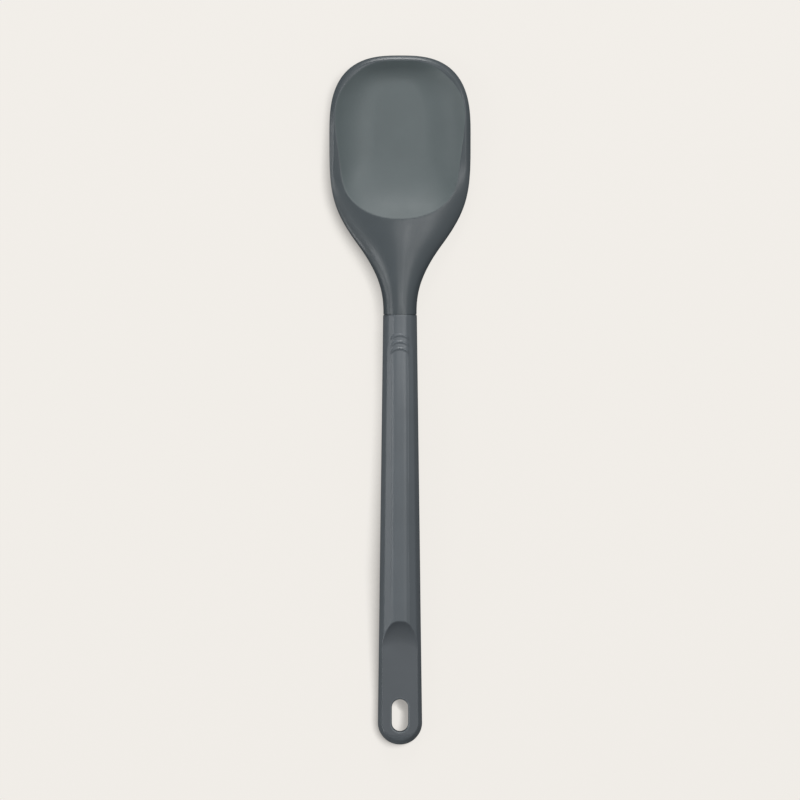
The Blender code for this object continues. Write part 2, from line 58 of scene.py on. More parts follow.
HEAD_LENGTH = NECK_LENGTH + BOWL_STRAIGHT_LENGTH + BOWL_FRONT_LENGTH
SEAM_Y = HANDLE_LENGTH - (HANDLE_LENGTH + HEAD_LENGTH) / 2

# Plan outline of the head
BOWL_HALF_WIDTH = 0.03326
BOWL_FRONT_SQUARENESS = 2.8
NECK_HALF_WIDTH = 0.00782
FLARE_HALF_WIDTH = 0.01978
FLARE_AT = 0.03307
FLARE_ANGLE = math.radians(36.2)
NECK_STRAIGHT_PULL = 0.0087
FLARE_PULL = 0.0192
SHOULDER_PULL = 0.0205

# Heights of the head
RIM_HEIGHT = 0.0115
TIP_HEIGHT = 0.0085
DISH_FLOOR = 0.0028
NECK_CREST_AT_SEAM = 0.0153
NECK_CREST_AT_BOWL = 0.0120
NECK_EDGE_AT_SEAM = 0.0085
SHOULDER_EDGE = 0.0050
BOWL_SIDE_EDGE = 0.0097
NECK_UNDERSIDE = 0.0044
SHOULDER_LOW_AT = 0.0450
UNDERSIDE_FLAT_FROM = 0.0640
BOWL_SECTION_FROM = 0.0560
RIM_LEVEL_AT = 0.1000

# Top of the neck: how far its crest is rounded, as a share of its half width, and the powers of its dome
NECK_CREST_ROUND = 0.12
NECK_DOME_AT_SEAM = 2.0
NECK_DOME_AT_FLARE = 1.6

# Lip and outer walls of the bowl
LIP_WIDTH = 0.0024
LIP_FALL_RUN = 0.0025
LIP_FALL_AT_SIDE = 0.0016
LIP_FALL_AT_FRONT = 0.0013
LIP_SWELL = 1.6
LIP_INNER_ROUND = 0.00015
WALL = 0.0022
SIDE_FILLET = 0.0260
SIDE_WALL_ANGLE = math.radians(42)
FRONT_FILLET = 0.0120
FRONT_WALL_ANGLE = math.radians(38)

# Hollow of the bowl
DISH_FRONT_FILLET = 0.0100
DISH_FRONT_ANGLE = math.radians(46)
DISH_REAR_FILLET = 0.0550
DISH_REAR_ANGLE = math.radians(42)
DISH_REAR_LENGTH = 0.0318
DISH_REAR_SQUARENESS = 3.4

# Search for the height of the hollow's wall: the highest looked at, and how often the range is halved
DISH_SEARCH_HEIGHT = 0.060
DISH_SEARCH_HALVINGS = 26

# Outline and heights of the handle
HANDLE_HALF_WIDTH_AT_SEAM = 0.00796
TAIL_RADIUS = 0.01045
CREST_AT_SEAM = 0.0156
CREST_AT_ARCH = 0.01669
CREST_AT_SCOOP = 0.0126
CREST_AT_TAIL = 0.0118
UNDERSIDE_AT_SEAM = 0.0042
UNDERSIDE_AT_ARCH = 0.0047
UNDERSIDE_AT_SCOOP = 0.0006
UNDERSIDE_AT_TAIL = 0.0
ARCH_AT = 0.0450
TAIL_LEVEL_FROM = 0.1650
TAIL_CROWN_FALL = 0.0030

# Section of the handle
CROWN_SHARE = 0.90
PANEL_CORNER_AT_SEAM = 0.0040
PANEL_CORNER_AT_TAIL = 0.0048
PANEL_CORNER_DROP = 0.14
CROWN_POWER = 4.0
FLANK_WIDTH = 0.0020
FACET_TILT = math.radians(42)
FACETS_START = 0.0125
FACETS_FULL = 0.0175
END_ROUND = 0.00025

# Rounding of that section's corners, as shares of half the side on each hand. On the crown's hand a
# share of 1 takes one part in SOFT_CORNER_PARTS
SEAM_SOFTNESS = 1.0
FACET_SOFTNESS = 0.35
WIDEST_SOFTNESS = 0.9
SOFT_CORNER_PARTS = 6

# Underside of that section, a squarish arc that starts just below the widest line
UNDERSIDE_SQUARENESS = 2.5
UNDERSIDE_ARC_FROM = math.radians(18)

# Tang, socket and seam
SEAM_GAP = 0.0003
TANG_CLEARANCE = 0.0003
TANG_LENGTH = 0.0700
TANG_ROOT_DEPTH = 0.0060
TANG_HEIGHT = 0.0099
TANG_WIDTH = 0.0094
TANG_THICKNESS = 0.0060
TANG_TIP_WIDTH = 0.0074
TANG_TIP_THICKNESS = 0.0050
TANG_CORNER = 0.0010
SOCKET_END_ROOM = 0.0005
GROOVE_DEPTH = 0.00025
GROOVE_GAP = 0.00005
SPIGOT_LENGTH = 0.0015
SPIGOT_INSET = 0.0013

# Sunk panel, and the arched ridges: two before its arched end and one round it
PANEL_START = 0.0148
PANEL_DEPTH = 0.0002
PANEL_LAND = 0.0003
PANEL_EDGE_RUN = 0.00025
ARCH_RADIUS = 0.00525
RIDGE_COUNT = 3
RIDGE_PITCH = 0.0032
RIDGE_REACH = 0.0046
RIDGE_FADE_FROM = 0.75
RIDGE_SHIFT = 0.0012
RIDGE_RUN_UP = 0.0011
RIDGE_RUN_DOWN = 0.0008
RIDGE_PROUD = 0.00038

# Thumb scoop, hanging tab and slot. The limits keep the scoop's wall and its arch short of upright
SCOOP_START = 0.1440
SCOOP_RADIUS = 0.0130
SCOOP_WALL_LIMIT = 0.95
SCOOP_ARCH_DEPTH = 0.0085
SCOOP_ARCH_HALF_WIDTH = 0.0104
SCOOP_ARCH_LIMIT = 0.98
SCOOP_EDGE_ROUND = 0.0003
TAB_THICKNESS = 0.0068
SLOT_WIDTH = 0.0077
SLOT_LENGTH = 0.0153
SLOT_END_TO_TAIL = 0.00635
SLOT_EDGE_ROUND = 0.0008
CUTTER_RUN_PAST = 0.0060

# Fineness of the head's mesh. The bowl's sections fan out from its middle line, between a share of the
# neck's length and a share of the front's length back from the tip
OUTLINE_SAMPLES = 600
NECK_STATIONS = 120
FRONT_STATIONS = 88
TOP_STEPS = 84
TOP_CROWDING = 0.9
LIP_STEPS = 12
UNDER_STEPS = 26
STRAIGHT_STEPS = 4
FLAT_STEPS = 4
FAN_START_SHARE = 0.9
FAN_END_SHARE = 0.6

# Fineness of the handle's mesh, which is closer over the ridges and round the scoop's edge
CROWN_STEPS = 46
FLANK_STEPS = 14
TAIL_STEPS = 36
CROWN_SAMPLES = 12
CORNER_SAMPLES = 8
ARC_SAMPLES = 40
END_ROUND_SHARES = (0.0, 0.3, 0.65, 1.0)
PLAIN_SPACING = 0.0008
CLOSE_SPACING = 0.00025
RIDGES_CLOSE_FROM = 0.0060
RIDGES_CLOSE_TO = 0.0215
SCOOP_CLOSE_BEFORE = 0.002
SCOOP_CLOSE_AFTER = 0.020

# Fineness of the tang, socket and slot, and how the meshes are joined and shaded
BAR_CORNER_STEPS = 5
SLOT_END_STEPS = 28
SLOT_EDGE_STEPS = 8
MERGE_DISTANCE = 0.000001
MIRROR_MERGE_DISTANCE = 0.00001
CRISP_ANGLE = math.radians(40)

# The photograph's frame, and the camera over the spoon
FRAME_WIDTH = 0.3768
CAMERA_LENS = 200.0
CAMERA_SENSOR = 36.0
CAMERA_Y = 0.0002
OBJECT_PLANE = 0.008

# Finishes: colour and roughness of a moulding's skin, and of its hollow. The handle's hollow colour is painted
# shade, darker in the scoop and on the tab
NECK_FINISH = ((0.058, 0.071, 0.079, 1.0), 0.30)
BOWL_FINISH = ((0.097, 0.120, 0.124, 1.0), 0.48)
GRIP_FINISH = ((0.104, 0.120, 0.133, 1.0), 0.33)
# Painted shade: the tab's colour is darker than the grip's, so the scoop and the tab look shaded
TAB_PAINTED_SHADE_AND_FINISH = ((0.082, 0.094, 0.105, 1.0), 0.36)
NYLON_IOR = 1.5

# Faint clouds in the colour, patches in the gloss, and the grain's size and depth
CLOUDS_PER_METRE = 90.0
CLOUD_SPREAD = 0.03
GLOSS_PATCHES_PER_METRE = 260.0
GLOSS_SPREAD = 0.02
HEAD_GRAIN = (0.0006, 0.000003)
HANDLE_GRAIN = (0.00035, 0.000006)
PATCH_DETAIL = 3.0
GRAIN_DETAIL = 2.0
NOISE_LOW = 0.3
NOISE_HIGH = 0.7

# Softboxes: name, degrees from overhead, degrees round from +X, width, strength at the spoon
SOFTBOXES = (
    ("rear", 60, 90, 0.35, 0.98),
    ("left", 54, 180, 0.35, 0.35),
    ("left_low", 82, 180, 0.40, 0.28),
    ("left_front", 82, 213, 0.35, 0.65),
    ("key", 12, 60, 0.20, 0.20),
    ("key_right", 22, 0, 0.30, 0.22),
    ("rear_right", 38, 45, 0.30, 0.48),
)
LAMP_DISTANCE = 1.2

# The sky, white: its strength all round, and how much more overhead, towards the bowl's end and to the right
WHITE = (1.0, 1.0, 1.0, 1.0)
SKY_ROUND = 0.22
SKY_OVERHEAD = 0.36
SKY_REAR = 0.11
SKY_RIGHT = 0.10

# The table: its own shade, what it throws back at the spoon, and how much of the lamps' shading it shows
TABLE_HALF_WIDTH = 4
PALE = (0.885, 0.855, 0.812, 1.0)
FLOOR_BOUNCE = (0.10, 0.10, 0.10, 1.0)
TABLE_ROUGHNESS = 0.9
TABLE_SHADING = 0.10

# The soft shadow on the table, to one side of the spoon and shorter beside the tail
SHADOW_SAMPLES = 16
SHADOW_REACH = 0.0110
SHADOW_REACH_AT_TAIL = 0.0055
SHADOW_SHORT_BEFORE = -0.1400
SHADOW_FULL_AFTER = -0.0800
SHADOW_TILT = (0.79, 0.45, 0.42)
SHADOW_CORE = 0.45
SHADOW_EDGE = 0.80
SHADOW_DARKEST = 0.42


def mix(a, b, share):
    """The value a share of the way from a to b."""
    return a + (b - a) * share


def ease(start, end, at):
    """0 before start and 1 after end, with a smooth rise between."""
    share = min(1.0, max(0.0, (at - start) / (end - start)))
    return share * share * (3 - 2 * share)


def smooth_min(a, b, blend):
    """The lower of two heights, with the crease between them rounded over a height of about blend."""
    gap = max(0.0, blend - abs(a - b)) / blend
    return min(a, b) - gap * gap * blend / 4


def hollow_out(height, hollow, edge_round):
    """The height where a hollow lies under a surface, and how far the place belongs to the hollow."""
    return smooth_min(height, hollow, edge_round * 2), ease(-edge_round, edge_round, height - hollow)


def through(stations, at):
    """The height at a place along a smooth curve through (place, height) stations, flat at each end."""
    if at <= stations[0][0]:
        return stations[0][1]
    for i in range(len(stations) - 1):
        (x0, y0), (x1, y1) = stations[i], stations[i + 1]
        if at <= x1:
            slopes = []
            for k in (i, i + 1):
                if k == 0 or k == len(stations) - 1:
                    slopes.append(0.0)
                else:
                    rise = stations[k + 1][1] - stations[k - 1][1]
                    slopes.append(rise / (stations[k + 1][0] - stations[k - 1][0]))
            t = (at - x0) / (x1 - x0)
            run = x1 - x0
            return (
                (2 * t**3 - 3 * t**2 + 1) * y0
                + (t**3 - 2 * t**2 + t) * run * slopes[0]
                + (3 * t**2 - 2 * t**3) * y1
                + (t**3 - t**2) * run * slopes[1]
            )
    return stations[-1][1]


def cubic(p0, p1, p2, p3, t):
    """A point on a cubic Bezier curve in the plane."""
    weights = ((1 - t) ** 3, 3 * (1 - t) ** 2 * t, 3 * (1 - t) * t**2, t**3)
    return tuple(sum(w * p[k] for w, p in zip(weights, (p0, p1, p2, p3))) for k in (0, 1))


def rounding_power(value, squareness):
    """The superellipse's power of a sine or cosine, with its sign."""
    return math.copysign(abs(value) ** (2 / squareness), value)


def even_steps(points, count):
    """Points along a path at even distances."""
    lengths = [0.0]
    for a, b in zip(points, points[1:]):
        lengths.append(lengths[-1] + math.dist(a[:2], b[:2]))
    result = []
    k = 0
    for i in range(count + 1):
        want = lengths[-1] * i / count
        while k < len(points) - 2 and lengths[k + 1] < want:
            k += 1
        share = (want - lengths[k]) / (lengths[k + 1] - lengths[k])
        result.append(tuple(mix(a, b, share) for a, b in zip(points[k], points[k + 1])))
    return result


def neck_outline(t):
    """The head's side from the seam (t = 0) past the flare (t = 1) to the bowl's full width (t = 2)."""
    flare = (FLARE_HALF_WIDTH, FLARE_AT)
    pull = (FLARE_PULL * math.sin(FLARE_ANGLE), FLARE_PULL * math.cos(FLARE_ANGLE))
    if t <= 1:
        start = (NECK_HALF_WIDTH, SEAM_GAP)
        after_start = (NECK_HALF_WIDTH, NECK_STRAIGHT_PULL)
        before_flare = (flare[0] - pull[0], flare[1] - pull[1])
        return cubic(start, after_start, before_flare, flare, t)
    after_flare = (flare[0] + pull[0], flare[1] + pull[1])
    before_end = (BOWL_HALF_WIDTH, NECK_LENGTH - SHOULDER_PULL)
    return cubic(flare, after_flare, before_end, (BOWL_HALF_WIDTH, NECK_LENGTH), t - 1)


def front_outline(angle):
    """The head's side round the bowl's front, from its full width (0) to the tip (a right angle)."""
    x = BOWL_HALF_WIDTH * rounding_power(math.cos(angle), BOWL_FRONT_SQUARENESS)
    y = BOWL_FRONT_LENGTH * rounding_power(math.sin(angle), BOWL_FRONT_SQUARENESS)
    return x, NECK_LENGTH + BOWL_STRAIGHT_LENGTH + y


def head_outline():
    """(x, y, how far round the front) for each station of the head's half outline, from seam to tip."""
    samples = range(OUTLINE_SAMPLES + 1)
    neck = [(*neck_outline(2 * i / OUTLINE_SAMPLES), 0.0) for i in samples]
    front = [(BOWL_HALF_WIDTH, NECK_LENGTH, 0.0)]
    for i in samples:
        angle = math.pi / 2 * i / OUTLINE_SAMPLES
        front.append((*front_outline(angle), math.sin(angle) ** 2))
    stations = even_steps(neck, NECK_STATIONS)[:-1] + even_steps(front, FRONT_STATIONS)
    _, y, frontness = stations[-1]
    stations[-1] = (0.0, y, frontness)
    return stations


def wall_run(height, fillet, angle):
    """How far a bowl wall has moved outwards at a height above the flat that it springs from."""
    fillet_height = fillet * (1 - math.cos(angle))
    if height <= fillet_height:
        return math.sqrt(max(0.0, 2 * fillet * height - height**2))
    return fillet * math.sin(angle) + (height - fillet_height) / math.tan(angle)


def edge_height(y):
    """Height of the head's outer edge: the neck's widest line, the shoulder, then the rim down to the tip."""
    stations = (
        (0.0, NECK_EDGE_AT_SEAM),
        (SHOULDER_LOW_AT, SHOULDER_EDGE),
        (NECK_LENGTH, BOWL_SIDE_EDGE),
        (RIM_LEVEL_AT, RIM_HEIGHT),
        (HEAD_LENGTH, TIP_HEIGHT),
    )
    return through(stations, y)


def neck_section(y, top_shares):
    """Half section of the neck as (share of the way out to its edge, height), from crest to underside."""
    crest = mix(NECK_CREST_AT_SEAM, NECK_CREST_AT_BOWL, ease(0.0, SHOULDER_LOW_AT, y))
    edge = edge_height(y)
    under = mix(NECK_UNDERSIDE, 0.0, ease(0.0, UNDERSIDE_FLAT_FROM, y))
    dome = mix(NECK_DOME_AT_SEAM, NECK_DOME_AT_FLARE, ease(0.0, FLARE_AT, y))
    full_width = math.hypot(1.0, NECK_CREST_ROUND) - NECK_CREST_ROUND
    points = []
    count = len(top_shares) + LIP_STEPS
    for i in range(count):
        angle = math.pi / 2 * i / (count - 1)
        share = math.sin(angle) ** (2 / dome)
        aside = (math.hypot(share, NECK_CREST_ROUND) - NECK_CREST_ROUND) / full_width
        points.append((share, edge + (crest - edge) * max(0.0, 1 - aside**dome) ** (1 / dome)))
    for i in range(1, UNDER_STEPS + 1):
        angle = math.pi / 2 * i / UNDER_STEPS
        points.append((math.cos(angle), edge - (edge - under) * math.sin(angle)))
    return points


def lip_points(rim, lip_fall, length, top_shares):
    """The bowl's flat top, as if it were full, and the lip that slopes and rounds down to its outer edge."""
    points = [(share * (1 - LIP_FALL_RUN / length), rim) for share in top_shares]
    for i in range(1, LIP_STEPS + 1):
        out = math.sin(math.pi / 2 * i / LIP_STEPS)
        inset = LIP_FALL_RUN * (1 - out)
        points.append((1 - inset / length, rim - lip_fall * out**LIP_SWELL))
    return points


def outer_wall_points(wall_height, fillet, angle, length):
    """The bowl's outside from its edge down: a straight slope, a fillet and the flat underside."""
    foot = wall_run(wall_height, fillet, angle)
    fillet_height = fillet * (1 - math.cos(angle))
    points = []
    for i in range(1, STRAIGHT_STEPS + 1):
        height = mix(wall_height, fillet_height, i / STRAIGHT_STEPS)
        points.append((1 - (foot - wall_run(height, fillet, angle)) / length, height))
    fillet_steps = UNDER_STEPS - STRAIGHT_STEPS - FLAT_STEPS
    for i in range(1, fillet_steps + 1):
        turn = angle * (1 - i / fillet_steps)
        height = fillet * (1 - math.cos(turn))
        points.append((1 - (foot - fillet * math.sin(turn)) / length, height))
    for i in range(1, FLAT_STEPS + 1):
        points.append(((1 - foot / length) * (1 - i / FLAT_STEPS), 0.0))
    return points


def bowl_section(y, length, frontness, top_shares):
    """Half section of the bowl before it is dished, as (share of the way out to its edge, height)."""
    rim = edge_height(y)
    fillet = mix(SIDE_FILLET, FRONT_FILLET, frontness) + WALL
    steepest = mix(SIDE_WALL_ANGLE, FRONT_WALL_ANGLE, frontness)
    lip_fall = mix(LIP_FALL_AT_SIDE, LIP_FALL_AT_FRONT, frontness)
    wall_height = rim - lip_fall
    angle = min(steepest, math.acos(max(-1.0, 1 - wall_height / fillet)))
    lip = lip_points(rim, lip_fall, length, top_shares)
    return lip + outer_wall_points(wall_height, fillet, angle, length)


def dish_end(y):
    """The hollow's end that a place lies in, front or rear.

    Returns the end's half length at the floor, its fillet, wall angle and squareness, and how far the place
    is past the bowl's straight middle.
    """
    if y > NECK_LENGTH + BOWL_STRAIGHT_LENGTH:
        run = wall_run(TIP_HEIGHT - DISH_FLOOR, DISH_FRONT_FILLET, DISH_FRONT_ANGLE)
        flat = BOWL_FRONT_LENGTH - LIP_WIDTH - run
        past = y - NECK_LENGTH - BOWL_STRAIGHT_LENGTH
        return flat, DISH_FRONT_FILLET, DISH_FRONT_ANGLE, BOWL_FRONT_SQUARENESS, past
    run = wall_run(NECK_CREST_AT_BOWL - DISH_FLOOR, DISH_REAR_FILLET, DISH_REAR_ANGLE)
    past = max(0.0, NECK_LENGTH - y)
    return DISH_REAR_LENGTH - run, DISH_REAR_FILLET, DISH_REAR_ANGLE, DISH_REAR_SQUARENESS, past


def dish_height(x, y):
    """Height of the bowl's hollow at a place: its flat floor, or a wall whose outline grows upwards."""
    depth = RIM_HEIGHT - DISH_FLOOR
    side_flat = BOWL_HALF_WIDTH - LIP_WIDTH - wall_run(depth, SIDE_FILLET, SIDE_WALL_ANGLE)
    flat, fillet, angle, squareness, past = dish_end(y)

    def outside(height):
        half = side_flat + wall_run(height, SIDE_FILLET, SIDE_WALL_ANGLE)
        reach = flat + wall_run(height, fillet, angle)
        return (abs(x) / half) ** squareness + (past / reach) ** squareness > 1

    if not outside(0.0):
        return DISH_FLOOR
    low, high = 0.0, DISH_SEARCH_HEIGHT
    for _ in range(DISH_SEARCH_HALVINGS):
        middle = (low + high) / 2
        if outside(middle):
            low = middle
        else:
            high = middle
    return DISH_FLOOR + high


def section_shares():
    """Shares of the way from the spine to the lip, closer together over the bowl's wall."""
    return [math.sin(math.pi / 2 * i / TOP_STEPS) ** TOP_CROWDING for i in range(TOP_STEPS + 1)]


def spine_places(outline):
    """Where each section meets the middle line: level with its station on the neck, fanned in the bowl."""
    fan_from = NECK_LENGTH * FAN_START_SHARE
    fan_to = HEAD_LENGTH - BOWL_FRONT_LENGTH * FAN_END_SHARE
    passed = [0.0]
    for (x0, y0, _), (x1, y1, _) in zip(outline, outline[1:]):
        passed.append(passed[-1] + (math.hypot(x1 - x0, y1 - y0) if y1 > fan_from else 0.0))
    places = []
    for (_, y, _), length in zip(outline, passed):
        places.append(y if length == 0 else mix(fan_from, fan_to, length / passed[-1]))
    return places


def seam_groove(station):
    """The neck's end drawn in a little all round, which leaves a groove between neck and handle."""
    middle = (NECK_CREST_AT_SEAM + NECK_UNDERSIDE) / 2
    shrink = 1 - GROOVE_DEPTH / NECK_HALF_WIDTH
    ring = [(x * shrink, mix(middle, height, shrink), hollowed) for x, _, height, hollowed in station]
    return [[(x, y, height, hollowed) for x, height, hollowed in ring] for y in (GROOVE_GAP, SEAM_GAP)]


def head_stations():
    """Half sections of the head from seam to tip. The neck's turn into the bowl's, and both are dished."""
    outline = head_outline()
    top_shares = section_shares()
    top_count = len(top_shares) + LIP_STEPS
    stations = []
    for (x, y, frontness), spine in zip(outline, spine_places(outline)):
        bowl = bowl_section(y, math.hypot(x, y - spine), frontness, top_shares)
        neck = neck_section(y, top_shares)
        share = ease(BOWL_SECTION_FROM, NECK_LENGTH, y)
        points = []
        for j, (a, b) in enumerate(zip(neck, bowl)):
            across = mix(a[0], b[0], share)
            height = mix(a[1], b[1], share)
            place = (x * across, mix(spine, y, across))
            hollowed = 0.0
            if j < top_count and y > FLARE_AT:
                height, hollowed = hollow_out(height, dish_height(*place), LIP_INNER_ROUND)
            points.append((*place, height, hollowed))
        stations.append(points)
    return seam_groove(stations[0]) + stations


def mesh_object(name, mesh):
    """An object at the seam, so that lengths from the seam become places along Y."""
    data = bpy.data.meshes.new(name)
    mesh.to_mesh(data)
    mesh.free()
    item = bpy.data.objects.new(name, data)
    item.location = (0.0, SEAM_Y, 0.0)
    bpy.context.scene.collection.objects.link(item)
    return item


def loft_half(name, stations, towards_tail):
    """The half of a body at +X, open on its middle plane, through stations of (x, y, height, hollowed)."""
    mesh = bmesh.new()
    layer = mesh.verts.layers.float.new("hollowed")
    rows = []
    for points in stations:
        row = []
        for x, y, height, hollowed in points:
            vertex = mesh.verts.new((x, y, height))
            vertex[layer] = hollowed
            row.append(vertex)
        rows.append(row)
    for first, second in zip(rows, rows[1:]):
        for j in range(len(first) - 1):
            corners = [first[j], first[j + 1], second[j + 1], second[j]]
            mesh.faces.new(reversed(corners) if towards_tail else corners)
    mesh.faces.new(rows[0] if towards_tail else list(reversed(rows[0])))
    bmesh.ops.remove_doubles(mesh, verts=mesh.verts, dist=MERGE_DISTANCE)
    return mesh_object(name, mesh)


def loft_rings(name, rings):
    """A closed body through rings with the same number of points, with a face at each end."""
    mesh = bmesh.new()
    rows = [[mesh.verts.new(point) for point in ring] for ring in rings]
    count = len(rows[0])
    for first, second in zip(rows, rows[1:]):
        for j in range(count):
            k = (j + 1) % count
            mesh.faces.new((first[j], first[k], second[k], second[j]))
    mesh.faces.new(list(reversed(rows[0])))
    mesh.faces.new(rows[-1])
    bmesh.ops.recalc_face_normals(mesh, faces=mesh.faces)
    return mesh_object(name, mesh)


def tapered_bar(name, start, end, first_size, last_size, corner):
    """A bar along Y with rounded long edges, from one (width, thickness) to another."""
    rings = []
    for y, (width, thickness) in ((start, first_size), (end, last_size)):
        ring = []
        for k, (sign_x, sign_z) in enumerate(((1, 1), (-1, 1), (-1, -1), (1, -1))):
            for step in range(BAR_CORNER_STEPS + 1):
                turn = math.pi / 2 * (k + step / BAR_CORNER_STEPS)
                x = sign_x * (width / 2 - corner) + corner * math.cos(turn)
                z = TANG_HEIGHT + sign_z * (thickness / 2 - corner) + corner * math.sin(turn)
                ring.append((x, y, z))
        rings.append(ring)
    return loft_rings(name, rings)


def tang():
    """The tapered bar on the neck that enters the handle's socket."""
    size = (TANG_WIDTH, TANG_THICKNESS)
    tip = (TANG_TIP_WIDTH, TANG_TIP_THICKNESS)
    return tapered_bar("tang", TANG_ROOT_DEPTH, -TANG_LENGTH, size, tip, TANG_CORNER)


def socket_cutter():
    """The tang's taper with its clearance all round, from in front of the handle to past the tang's tip."""
    room = 2 * TANG_CLEARANCE
    size = (TANG_WIDTH + room, TANG_THICKNESS + room)
    tip = (TANG_TIP_WIDTH + room, TANG_TIP_THICKNESS + room)
    corner = TANG_CORNER + TANG_CLEARANCE
    return tapered_bar("socket_cutter", TANG_ROOT_DEPTH, -TANG_LENGTH - SOCKET_END_ROOM, size, tip, corner)


def seam_bar(name, start, end, inset):
    """A short bar with the handle's own section at the seam, drawn in all round."""
    half = handle_section(0.0, inset)
    around = half + [(-x, z) for x, z in half[-2:0:-1]]
    return loft_rings(name, [[(x, y, z) for x, z in around] for y in (start, end)])


def spigot():
    """The step between neck and tang. It enters the handle's mouth and closes the seam to the light."""
    return seam_bar("spigot", TANG_ROOT_DEPTH / 2, -SPIGOT_LENGTH, SPIGOT_INSET)


def mouth_cutter():
    """The handle's mouth: the spigot with its clearance all round."""
    inset = SPIGOT_INSET - TANG_CLEARANCE
    return seam_bar("mouth_cutter", TANG_ROOT_DEPTH / 2, -SPIGOT_LENGTH - SEAM_GAP, inset)


def handle_half_width(distance):
    """Half width of the handle, which widens evenly up to its round tail."""
    round_from = HANDLE_LENGTH - TAIL_RADIUS
    return mix(HANDLE_HALF_WIDTH_AT_SEAM, TAIL_RADIUS, min(1.0, distance / round_from))


def panel_half_width(distance):
    """Half width of the handle's crown, out to the corner where the first facet starts."""
    return mix(PANEL_CORNER_AT_SEAM, PANEL_CORNER_AT_TAIL, min(1.0, distance / HANDLE_LENGTH))


def handle_crest(distance):
    """Height of the handle's middle line, before panel, ridges and scoop."""
    stations = (
        (0.0, CREST_AT_SEAM),
        (ARCH_AT, CREST_AT_ARCH),
        (SCOOP_START, CREST_AT_SCOOP),
        (TAIL_LEVEL_FROM, CREST_AT_TAIL),
        (HANDLE_LENGTH, CREST_AT_TAIL),
    )
    return through(stations, distance)


def handle_underside(distance):
    """Height of the handle's underside, which levels out on the surface that the spoon lies on."""
    stations = (
        (0.0, UNDERSIDE_AT_SEAM),
        (ARCH_AT, UNDERSIDE_AT_ARCH),
        (SCOOP_START, UNDERSIDE_AT_SCOOP),
        (TAIL_LEVEL_FROM, UNDERSIDE_AT_TAIL),
        (HANDLE_LENGTH, UNDERSIDE_AT_TAIL),
    )
    return max(UNDERSIDE_AT_TAIL, through(stations, distance))


def rounded_corner(before, corner, after, share):
    """Points that round a corner off, reaching a share of the way to the points halfway along each side."""
    start = [mix(corner[k], before[k], share / 2) for k in (0, 1)]
    end = [mix(corner[k], after[k], share / 2) for k in (0, 1)]
    points = []
    for step in range(CORNER_SAMPLES + 1):
        t = step / CORNER_SAMPLES
        points.append(
            tuple((1 - t) ** 2 * start[k] + 2 * t * (1 - t) * corner[k] + t**2 * end[k] for k in (0, 1))
        )
    return points


def crown_points(panel, crest, corner_drop, softness):
    """The handle's crown, from its crest to where the corner beside it starts to round off."""
    reach = 1 - softness / SOFT_CORNER_PARTS
    shares = [reach * step / CROWN_SAMPLES for step in range(CROWN_SAMPLES)] + [reach]
    return [(panel * share, crest - corner_drop * share**CROWN_POWER) for share in shares]


def underside_arc(half, side, under):
    """The squarish arc from just below the handle's widest line to the middle of its underside."""
    points = []
    for step in range(ARC_SAMPLES + 1):
        angle = mix(UNDERSIDE_ARC_FROM, math.pi / 2, step / ARC_SAMPLES)
        x = half * rounding_power(math.cos(angle), UNDERSIDE_SQUARENESS) if step < ARC_SAMPLES else 0.0
        points.append((x, side - (side - under) * rounding_power(math.sin(angle), UNDERSIDE_SQUARENESS)))
    return points


def handle_section(distance, inset=0.0, crown_fall=0.0):
    """Half section of the handle as (x, height), evenly spaced from its crest down to its underside."""
    half = handle_half_width(distance)
    side = handle_crest(distance) - CROWN_SHARE * half
    crest = handle_crest(distance) - crown_fall
    rise = crest - side
    under = handle_underside(distance)
    panel = panel_half_width(distance)
    softness = mix(SEAM_SOFTNESS, FACET_SOFTNESS, ease(FACETS_START, FACETS_FULL, distance))

    panel_corner = (panel, crest - PANEL_CORNER_DROP * rise)
    facet_width = half - FLANK_WIDTH - panel
    facet_fall = facet_width * math.tan(FACET_TILT) * rise / (CROWN_SHARE * half)
    facet_corner = (half - FLANK_WIDTH, panel_corner[1] - facet_fall)
    widest = (half, side)
    side_foot = (half, side - (side - under) / 2)

    crown = crown_points(panel, crest, PANEL_CORNER_DROP * rise, softness)
    before = tuple(mix(panel_corner[k], crown[-1][k], 2 / softness) for k in (0, 1))
    top = crown[:-1]
    top += rounded_corner(before, panel_corner, facet_corner, softness)
    top += rounded_corner(panel_corner, facet_corner, widest, softness)
    bottom = rounded_corner(facet_corner, widest, side_foot, WIDEST_SOFTNESS)
    bottom += underside_arc(half, side, under)
    across = even_steps(top + bottom[:1], CROWN_STEPS) + even_steps(bottom, FLANK_STEPS + UNDER_STEPS)[1:]

    middle = (crest + under) / 2
    shrink = 1 - inset / half
    return [(x * shrink, mix(middle, z, shrink)) for x, z in across]


def panel_sink(distance, x):
    """How far the panel lowers the handle's top at a place."""
    inside_side = panel_half_width(distance) - PANEL_LAND - abs(x)
    arch_centre = PANEL_START + RIDGE_SHIFT + ARCH_RADIUS
    inside_arch = ARCH_RADIUS - math.hypot(x, distance - arch_centre)
    inside = inside_side if distance > arch_centre else min(inside_side, inside_arch)
    return PANEL_DEPTH * ease(-PANEL_EDGE_RUN / 2, PANEL_EDGE_RUN / 2, inside)


def ridge_rise(distance, x):
    """How far the arched ridges raise the handle's top at a place. The first runs round the panel's end."""
    rise = 0.0
    for number in range(RIDGE_COUNT):
        centre = PANEL_START + RIDGE_SHIFT - RIDGE_PITCH * number + ARCH_RADIUS
        if distance > centre:
            continue
        outwards = math.hypot(x, distance - centre) - ARCH_RADIUS
        off = outwards / RIDGE_RUN_UP if outwards > 0 else -outwards / RIDGE_RUN_DOWN
        fade = 1 - ease(RIDGE_REACH * RIDGE_FADE_FROM, RIDGE_REACH, abs(x))
        if off < 1:
            rise += RIDGE_PROUD * fade * math.cos(math.pi / 2 * off) ** 2
    return rise


